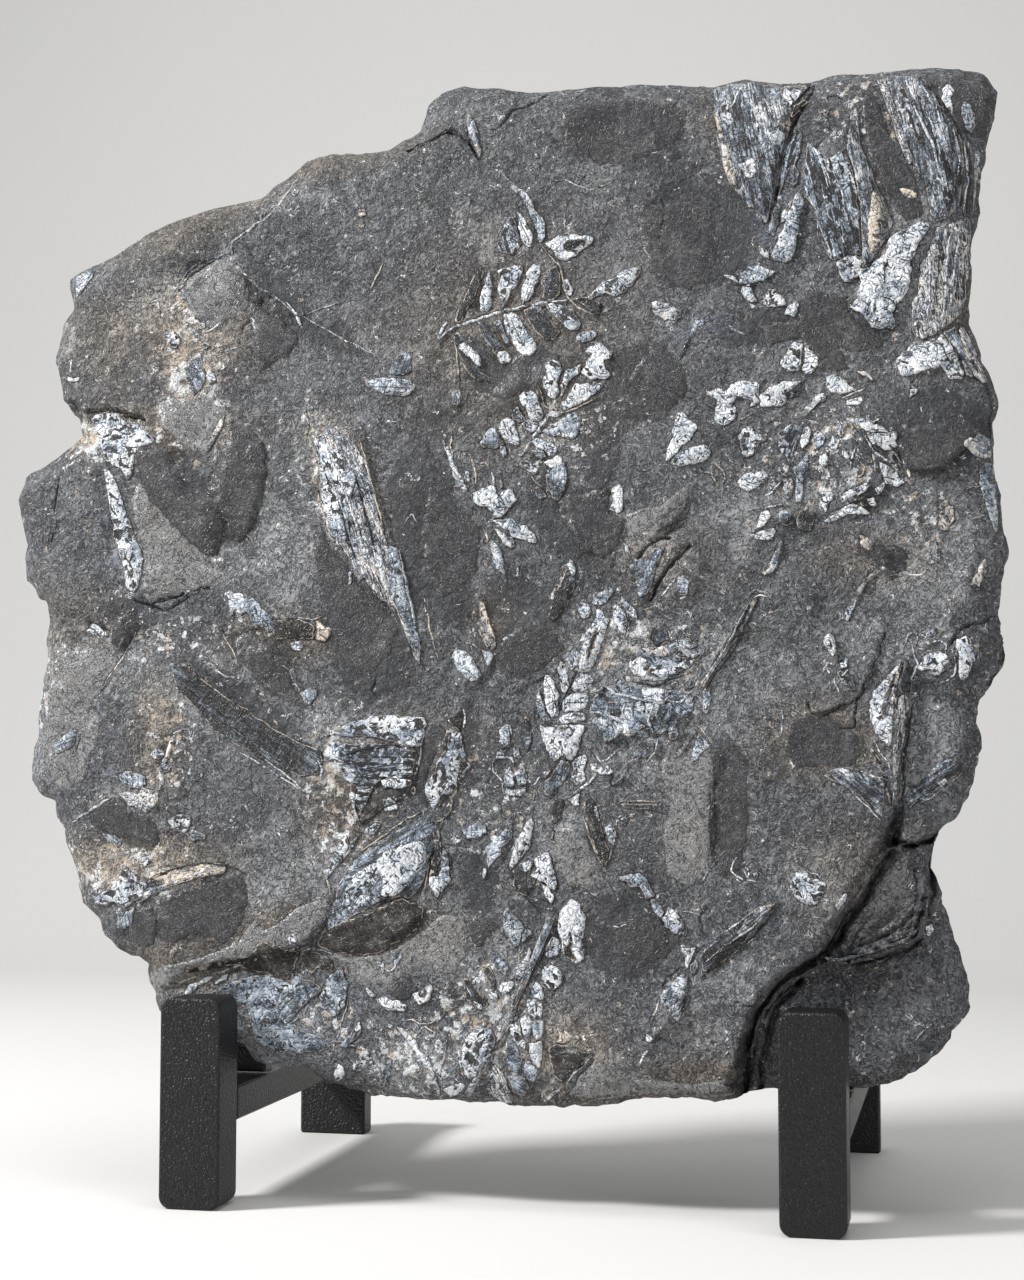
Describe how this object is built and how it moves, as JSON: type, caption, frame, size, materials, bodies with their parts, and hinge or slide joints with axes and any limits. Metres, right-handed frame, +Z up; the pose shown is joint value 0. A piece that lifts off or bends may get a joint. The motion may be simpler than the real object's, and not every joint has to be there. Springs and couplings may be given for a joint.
{
  "type": "fossil fern plate",
  "caption": "Split slab of dark shale with fossil fern leaflets, stems and ledges in low relief, held upright and leaning back by a black bar stand.",
  "frame": {"origin": "on the floor under the middle of the whole object's box", "axes": "+Z up; the fern face looks towards -Y and leans back 6 degrees; +X is to the right of whoever faces it"},
  "size_m": [0.4281, 0.2, 0.4707],
  "materials": {
    "shale": "split rough rock, matt, with pale mineral films on the fossils",
    "stand_coat": "black textured powder coat"
  },
  "bodies": {
    "root": {"fossil_slab": "shale", "left_post": "stand_coat", "right_post": "stand_coat", "left_arm": "stand_coat", "right_arm": "stand_coat", "left_rear_leg": "stand_coat", "right_rear_leg": "stand_coat", "left_back_rest": "stand_coat", "right_back_rest": "stand_coat", "cross_bar": "stand_coat"}
  },
  "joints": []
}
